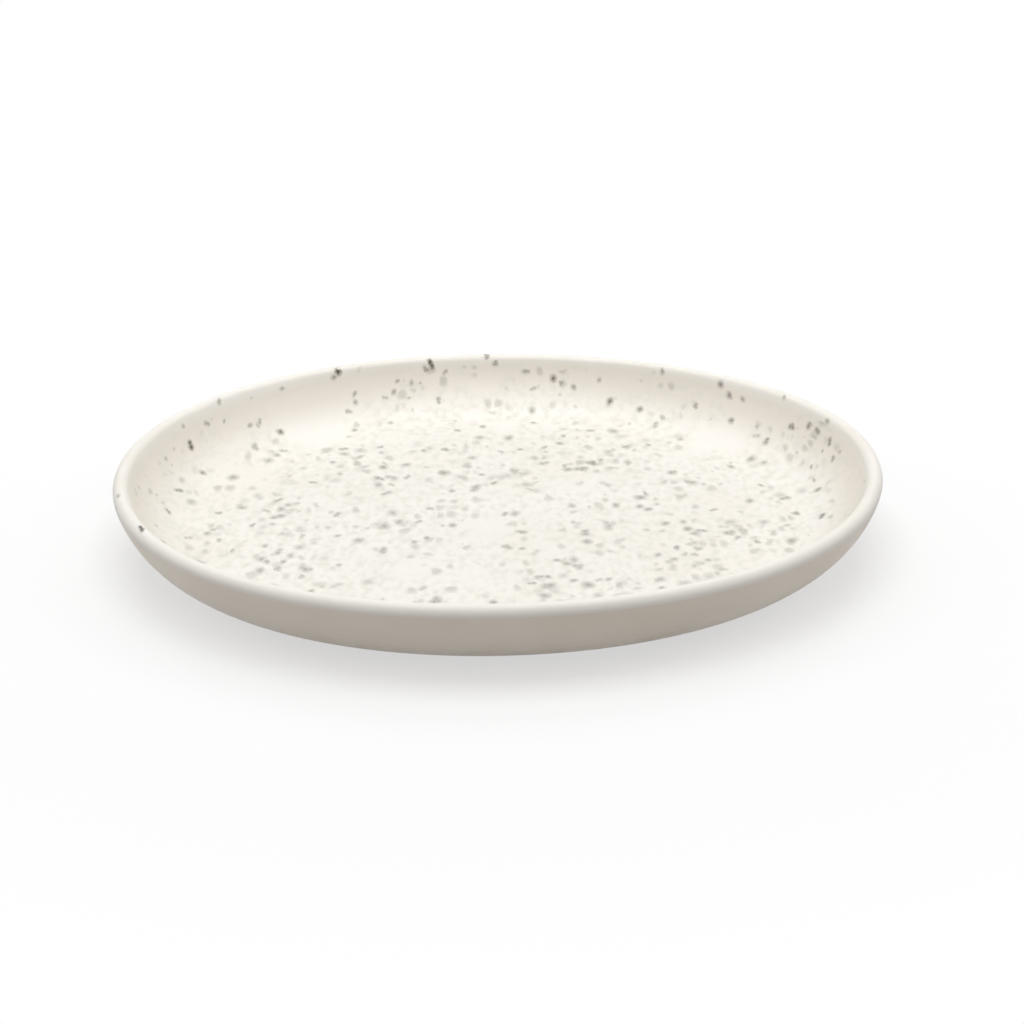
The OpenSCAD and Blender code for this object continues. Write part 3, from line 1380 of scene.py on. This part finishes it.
@dataclass
class IronFlecks:
    """The dark flecks of the eating face.

    Attributes:
        section: The plate's section.
        per_square_metre: Density of the flecks where they lie closest.
        spacing: Least distance between two scattered flecks, in metres.
        smallest: Half width of the smallest scattered fleck in the well, in metres.
        largest: Half width of the largest scattered fleck, in metres.
        unevenness: How much commoner small flecks are than large ones.
        on_wall: Size of the scattered flecks on the wall, as a share of their size in the well.
        faintest: Strength of the faintest fleck.
        boldest: Strength of the boldest scattered fleck.
        placed_strength: Strength of the largest placed flecks.
        relief: How far the middle of the strongest fleck stands out of the glaze, in metres.
        raggedness: How far a fleck's outline strays, as a share of its size.
        drawn_out: How much longer a fleck is from front to back than from side to side.
        seed: Seed of the scatter.
        plain_density: Density away from the patches, as a share of the closest.
        drift: How far that density drifts.
        drift_size: Size of the drifts, in millimetres.
        clumping: How strongly the flecks gather in clumps.
        clump_size: Size of the clumps, in millimetres.
        sparse_wall: Share of the plain density that is lost on the wall.
        wall_mm: Distances from the axis between which it is lost, in millimetres.
        lip_mm: Distances from the axis between which the scatter ends, in millimetres.
        least_density: Density in the barest places below the lip, as a share of the closest.
        patches: Where flecks crowd together or leave the glaze bare.
        bold: The placed flecks, on the wall and the lip.
    """

    section: PlateSection
    per_square_metre: float = 34000.0
    spacing: float = mm(2.3)
    smallest: float = mm(1.4)
    largest: float = mm(2.6)
    unevenness: float = 1.4
    on_wall: float = 0.5
    faintest: float = 0.2
    boldest: float = 0.73
    placed_strength: float = 1.0
    relief: float = mm(0.08)
    raggedness: float = 0.7
    drawn_out: float = 1.4
    seed: int = 105
    plain_density: float = 0.52
    drift: float = 0.12
    drift_size: float = 26.0
    clumping: float = 1.1
    clump_size: float = 7.0
    sparse_wall: float = 0.5
    wall_mm: Span = (80.0, 98.0)
    lip_mm: Span = (99.0, 101.0)
    least_density: float = 0.01
    patches: tuple[Patch, ...] = tuple(Patch(*row) for row in (
        (18.0, 49.0, 12.0, 0.6), (-10.0, 44.0, 11.0, 0.6), (-67.0, 0.0, 13.0, 0.4),
        (-22.0, -6.0, 11.0, 0.35), (66.0, -20.0, 13.0, 0.6), (42.0, -38.0, 13.0, 0.4),
        (17.0, -60.0, 10.0, 0.4), (-40.0, 45.0, 12.0, 0.5), (32.0, 42.0, 11.0, 0.5),
        (-56.0, -32.0, 12.0, 0.35), (90.0, 33.0, 9.0, 0.9), (60.0, 31.0, 9.0, 0.5),
        (45.0, 60.0, 8.0, 0.4), (30.0, 0.0, 9.0, 0.45), (30.0, -15.0, 8.0, 0.4),
        (-52.0, 66.0, 12.0, -0.6), (-30.0, 62.0, 8.0, -0.3), (3.0, 74.0, 9.0, -0.5),
        (-73.0, 32.0, 10.0, -0.45), (22.0, 22.0, 10.0, -0.4), (-47.0, 5.0, 9.0, -0.4),
        (-5.0, -10.0, 10.0, -0.5), (14.0, -26.0, 9.0, -0.3), (-22.0, -38.0, 10.0, -0.4),
        (-9.0, -49.0, 9.0, -0.4), (60.0, 3.0, 9.0, -0.4), (62.0, 54.0, 12.0, -0.5)))
    bold: tuple[BoldFleck, ...] = tuple(BoldFleck(*row) for row in (
        (116.5, 109.5, 1.8), (102.0, 110.0, 1.2), (66.0, 99.5, 1.8), (65.0, 105.5, 1.1),
        (59.0, 103.0, 1.3), (54.0, 107.5, 1.3), (50.0, 97.5, 1.3), (45.0, 92.0, 1.7),
        (12.5, 104.5, 1.4), (11.0, 93.5, 1.4), (-48.0, 103.0, 1.3), (-70.5, 107.0, 1.4),
        (47.5, 97.5, 1.2), (40.0, 105.5, 1.1), (29.5, 105.5, 1.4), (28.5, 107.0, 1.9),
        (29.0, 93.5, 1.3), (21.0, 96.5, 1.1), (19.0, 98.0, 1.4), (11.5, 106.0, 1.8),
        (9.0, 103.0, 1.2), (1.5, 107.5, 1.6), (0.0, 105.0, 1.4), (-5.5, 102.5, 1.4),
        (-7.0, 97.0, 1.2), (-10.5, 100.5, 1.7), (-12.0, 99.0, 1.1), (-14.5, 98.0, 1.4),
        (-19.0, 101.0, 1.2), (-22.0, 94.0, 1.7), (-28.5, 92.5, 1.6), (-30.5, 106.0, 1.4),
        (-42.5, 105.5, 1.6), (-45.0, 103.0, 1.6), (-48.0, 95.5, 1.6), (-57.0, 107.5, 1.2),
        (-66.0, 103.0, 1.6), (-69.0, 103.0, 1.6), (-74.0, 102.5, 1.6), (-78.5, 99.5, 1.4),
        (-62.0, 100.5, 1.6), (-84.5, 90.5, 1.6), (-97.0, 89.5, 1.7), (-93.0, 82.5, 1.5),
        (-59.0, 93.0, 1.6), (80.5, 91.5, 1.6), (91.0, 91.5, 1.5), (70.0, 90.5, 1.6)))

    # Where in the noise the drifts and the clumps are taken from.
    DRIFT_ORIGIN: ClassVar[Place] = (3.1, 7.7, 1.9)
    CLUMP_ORIGIN: ClassVar[Place] = (11.3, 2.6, 5.2)

    def density(self, x: float, y: float) -> float:
        """Work out how closely the flecks lie at a place.

        Args:
            x: Place to the right of the axis, in metres.
            y: Place behind the axis, in metres.

        Returns:
            The density, as a share of the closest.
        """
        x, y = x * MM_PER_METRE, y * MM_PER_METRE
        here = Vector((x, y, 0.0))
        away = math.hypot(x, y)
        drift = noise.noise(here / self.drift_size + Vector(self.DRIFT_ORIGIN))
        clumps = noise.noise(here / self.clump_size + Vector(self.CLUMP_ORIGIN))
        share = self.plain_density + self.drift * drift
        share *= 1.0 - self.sparse_wall * share_of(away, self.wall_mm)
        share += sum(patch.at(x, y) for patch in self.patches)
        share = min(max(share * (1.0 + self.clumping * clumps), self.least_density), 1.0)
        return share * (1.0 - share_of(away, self.lip_mm))

    def mark(self, mesh: Mesh) -> None:
        """Store the density of the flecks on a mesh.

        Args:
            mesh: The mesh.
        """
        marks = mesh.attributes.new(Mark.DENSITY.value, "FLOAT", "POINT")
        for mark, vertex in zip(marks.data, mesh.vertices):
            mark.value = self.density(vertex.co.x, vertex.co.y)

    def scatter(self, face: Object, material: Material) -> Object:
        """Scatter the flecks.

        Args:
            face: The face that carries them, which is used up.
            material: Their material.

        Returns:
            One piece that holds all flecks.
        """
        mesh = face.data
        bpy.data.objects.remove(face)
        first = len(mesh.vertices)
        mesh.vertices.add(len(self.bold))
        chosen = mesh.attributes.new(Mark.CHOSEN.value, "FLOAT", "POINT")
        for k, fleck in enumerate(self.bold, first):
            mesh.vertices[k].co = fleck.place(self.section)
            chosen.data[k].value = mm(fleck.size)
        self.mark(mesh)
        return run_tree("iron_flecks", mesh, FleckTree().tree, {
            "Seed": self.seed, "Density": self.per_square_metre, "Spacing": self.spacing,
            "Smallest": self.smallest, "Largest": self.largest, "Unevenness": self.unevenness,
            "On Wall": self.on_wall, "Faintest": self.faintest, "Boldest": self.boldest,
            "Placed Strength": self.placed_strength, "Relief": self.relief,
            "Raggedness": self.raggedness, "Drawn Out": self.drawn_out, "Material": material})


@dataclass
class DessertPlate:
    """The whole plate: the clay, its three coats of glaze and the flecks.

    Attributes:
        section: The plate's section.
    """

    section: PlateSection

    def build(self) -> list[Object]:
        """Turn and dress every piece.

        Returns:
            The pieces, each riding on the frame's body.
        """
        groups = ShaderGroups()
        wheel = Wheel(self.section)
        iron = IronFlecks(self.section)
        cream, plain = CREAM.material(groups), SHADED_PLAIN_CREAM.material(groups)
        clay = wheel.turn("clay_body", self.section.body(), STONEWARE.material(groups))
        inner = wheel.turn("inner_coat", self.section.inner_coat(), cream)
        outer = wheel.turn("outer_coat", self.section.outer_coat(), plain, wander=True)
        recess = wheel.turn("recess_coat", self.section.recess_coat(), plain, wander=True)
        face = wheel.turn("eating_face", self.section.face(0.0))
        flecks = iron.scatter(face, IRON.material(groups))
        iron.mark(inner.data)
        self.seat(clay, Slot.CLAY, CadNode.CLAY)
        self.seat(inner, Slot.SPECKLED, CadNode.INNER)
        self.seat(outer, Slot.PLAIN, CadNode.OUTER)
        self.seat(recess, Slot.PLAIN, CadNode.RECESS)
        self.seat(flecks, Slot.SPECKLED)
        return [clay, inner, outer, recess, flecks]

    @staticmethod
    def seat(piece: Object, slot: Slot, node: CadNode | None = None) -> None:
        """Make a piece ride on the frame.

        Args:
            piece: The piece.
            slot: The record's slot for its finish; not used.
            node: The frame's node that it stands for, if any.
        """
        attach(piece, BODY)
        if node is not None:
            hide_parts(node.value)


@dataclass(frozen=True)
class Softbox:
    """A rectangular lamp that faces the plate.

    Attributes:
        name: Lamp name.
        place: Its middle, in metres.
        size: Its width and height, in metres.
        power: Its power, in watts.
    """

    name: str
    place: Place
    size: tuple[float, float]
    power: float

    def light(self) -> None:
        """Make the lamp."""
        data = bpy.data.lights.new(self.name, "AREA")
        data.shape = "RECTANGLE"
        data.size, data.size_y = self.size
        data.energy = self.power
        lamp = new_object(self.name, data)
        lamp.location = self.place
        lamp.rotation_euler = (-Vector(self.place)).to_track_quat("-Z", "Y").to_euler()


@dataclass
class Studio:
    """Floor, world, lamps and camera.

    Attributes:
        section: The plate's section.
        image_px: Width and height of the picture.
        focal_px: Focal length in pixels of the picture.
        distance: From the camera to the middle of the plate's rim, in metres.
        elevation: Of the camera above the rim, in degrees.
        roll: By which the picture's right side is raised, in degrees.
        rim_px: Where the middle of the rim falls in the picture.
        sensor: Width of the camera's sensor, in millimetres.
        clip_start: Nearest distance that the camera sees, in metres.
        fill: Light of the world on the plate, from in front and from behind.
        floor_r: Radius of the floor, in metres.
        floor_steps: Sides of the floor.
        floor_white: Whiteness of the floor where the plate's shadow falls.
        floor_bounce: Share of the light that the floor throws back on the plate.
        floor_glow: Share of plain white in the floor beside the plate, where its shadow falls.
        shadow_r: Distances from the axis between which the floor becomes all plain white, in metres.
        lamps: The softboxes.
    """

    section: PlateSection
    image_px: float = 1024.0
    focal_px: float = 2671.4
    distance: float = 0.735
    elevation: float = 19.44
    roll: float = 0.8
    rim_px: Point = (496.1, 462.5)
    sensor: float = 36.0
    clip_start: float = 0.01
    fill: Span = (0.355, 0.0)
    floor_r: float = 6.0
    floor_steps: int = 96
    floor_white: float = 0.97
    floor_bounce: float = 0.57
    floor_glow: float = 0.6
    shadow_r: Span = (0.11, 0.26)
    lamps: tuple[Softbox, ...] = (Softbox("overhead_softbox", (0.0, -0.2, 1.45), (1.2, 1.2), 12.5),
                                  Softbox("back_softbox", (0.0, 0.45, 0.6), (0.8, 0.4), 1.9),
                                  Softbox("left_softbox", (-1.2, 0.0, 0.9), (0.8, 0.8), 2.6),
                                  Softbox("right_softbox", (1.2, 0.0, 0.9), (0.8, 0.8), 2.9))

    def build(self) -> None:
        """Make the whole studio."""
        bpy.context.scene.view_settings.view_transform = "Standard"
        self.light_world()
        self.lay_floor()
        for lamp in self.lamps:
            lamp.light()
        self.place_camera()

    @staticmethod
    def shown_rays(sheet: NodeSheet) -> NodeSocket:
        """Tell the rays that show a surface from those that light one.

        Args:
            sheet: The sheet of the world or of the floor's material.

        Returns:
            1 for rays from the camera, in gloss or through glass, and 0 for others.
        """
        path = sheet.add("ShaderNodeLightPath").outputs
        glossy = sheet.math("MAXIMUM", path["Is Glossy Ray"], path["Is Transmission Ray"])
        return sheet.math("MAXIMUM", path["Is Camera Ray"], glossy)

    def light_world(self) -> None:
        """Make a world that shows white and lights the plate softly, most of all from in front."""
        world = bpy.data.worlds.new("white_studio")
        world.use_nodes = True
        bpy.context.scene.world = world
        sheet = NodeSheet(world.node_tree)
        ground = next(n for n in world.node_tree.nodes if n.type == "BACKGROUND")
        sheet.feed(ground.inputs["Color"], WHITE)
        way = sheet.split(sheet.add("ShaderNodeTexCoord").outputs["Generated"])
        light = sheet.ramp(way[1], -1.0, 1.0, *self.fill)
        sheet.feed(ground.inputs["Strength"], sheet.ramp(self.shown_rays(sheet), 0.0, 1.0, light, 1.0))

    def lay_floor(self) -> None:
        """Lay a round pale floor that shows white and keeps the plate's shadow."""
        angles = [FULL_TURN * k / self.floor_steps for k in range(self.floor_steps)]
        ring = [(math.cos(angle) * self.floor_r, math.sin(angle) * self.floor_r, 0.0) for angle in angles]
        mesh = bpy.data.meshes.new("studio_floor")
        mesh.from_pydata(ring, [], [range(self.floor_steps)])
        material = bpy.data.materials.new("pale_floor")
        material.use_nodes = True
        mesh.materials.append(material)
        sheet = NodeSheet(material.node_tree)
        sheet.tree.nodes.clear()
        bounce = sheet.out("ShaderNodeBsdfDiffuse", {"Color": (self.floor_bounce,) * 3})
        lit = sheet.out("ShaderNodeBsdfDiffuse", {"Color": (self.floor_white,) * 3})
        glow = sheet.out("ShaderNodeEmission", {"Color": WHITE, "Strength": 1.0})
        away = sheet.vector("LENGTH", sheet.add("ShaderNodeTexCoord").outputs["Object"])
        share = sheet.ramp(away, *self.shadow_r, self.floor_glow, 1.0)
        shown = sheet.out("ShaderNodeMixShader", {0: share, 1: lit, 2: glow})
        either = sheet.out("ShaderNodeMixShader", {0: self.shown_rays(sheet), 1: bounce, 2: shown})
        sheet.add("ShaderNodeOutputMaterial", {"Surface": either})
        floor = new_object("studio_floor", mesh)

    def place_camera(self) -> None:
        """Aim the camera so that the middle of the rim falls on its pixel."""
        middle = self.image_px / 2
        turn = math.radians(self.roll)
        across, down = self.rim_px[0] - middle, self.rim_px[1] - middle
        level_x = across * math.cos(turn) - down * math.sin(turn)
        level_y = across * math.sin(turn) + down * math.cos(turn)
        rise = math.radians(self.elevation)
        pan = math.atan2(level_x, self.focal_px)
        pitch = math.atan2(level_y, math.hypot(level_x, self.focal_px)) - rise
        forward = Vector((-math.sin(pan) * math.cos(pitch), math.cos(pan) * math.cos(pitch), math.sin(pitch)))
        right = Vector((math.cos(pan), math.sin(pan), 0.0))
        up = right.cross(forward)
        tilted_right = right * math.cos(turn) - up * math.sin(turn)
        tilted_up = right * math.sin(turn) + up * math.cos(turn)
        rim = Vector((0.0, 0.0, self.section.rim_z))
        spot = rim + Vector((0.0, -math.cos(rise), math.sin(rise))) * self.distance
        data = bpy.data.cameras.new("studio_camera")
        data.sensor_width = self.sensor
        data.lens = self.focal_px / self.image_px * self.sensor
        data.clip_start = self.clip_start
        camera = new_object("studio_camera", data)
        axes = Matrix((tilted_right, tilted_up, -forward)).transposed()
        camera.matrix_world = Matrix.Translation(spot) @ axes.to_4x4()
        bpy.context.scene.camera = camera


def main() -> None:
    """Build the plate and the studio, and report each piece."""
    logging.basicConfig(level=logging.INFO, format="%(name)s: %(message)s")
    section = PlateSection.from_frame()
    for piece in DessertPlate(section).build():
        log.info("%s: %d faces", piece.name, len(piece.data.polygons))
    Studio(section).build()
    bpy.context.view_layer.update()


if __name__ == "__main__":
    main()
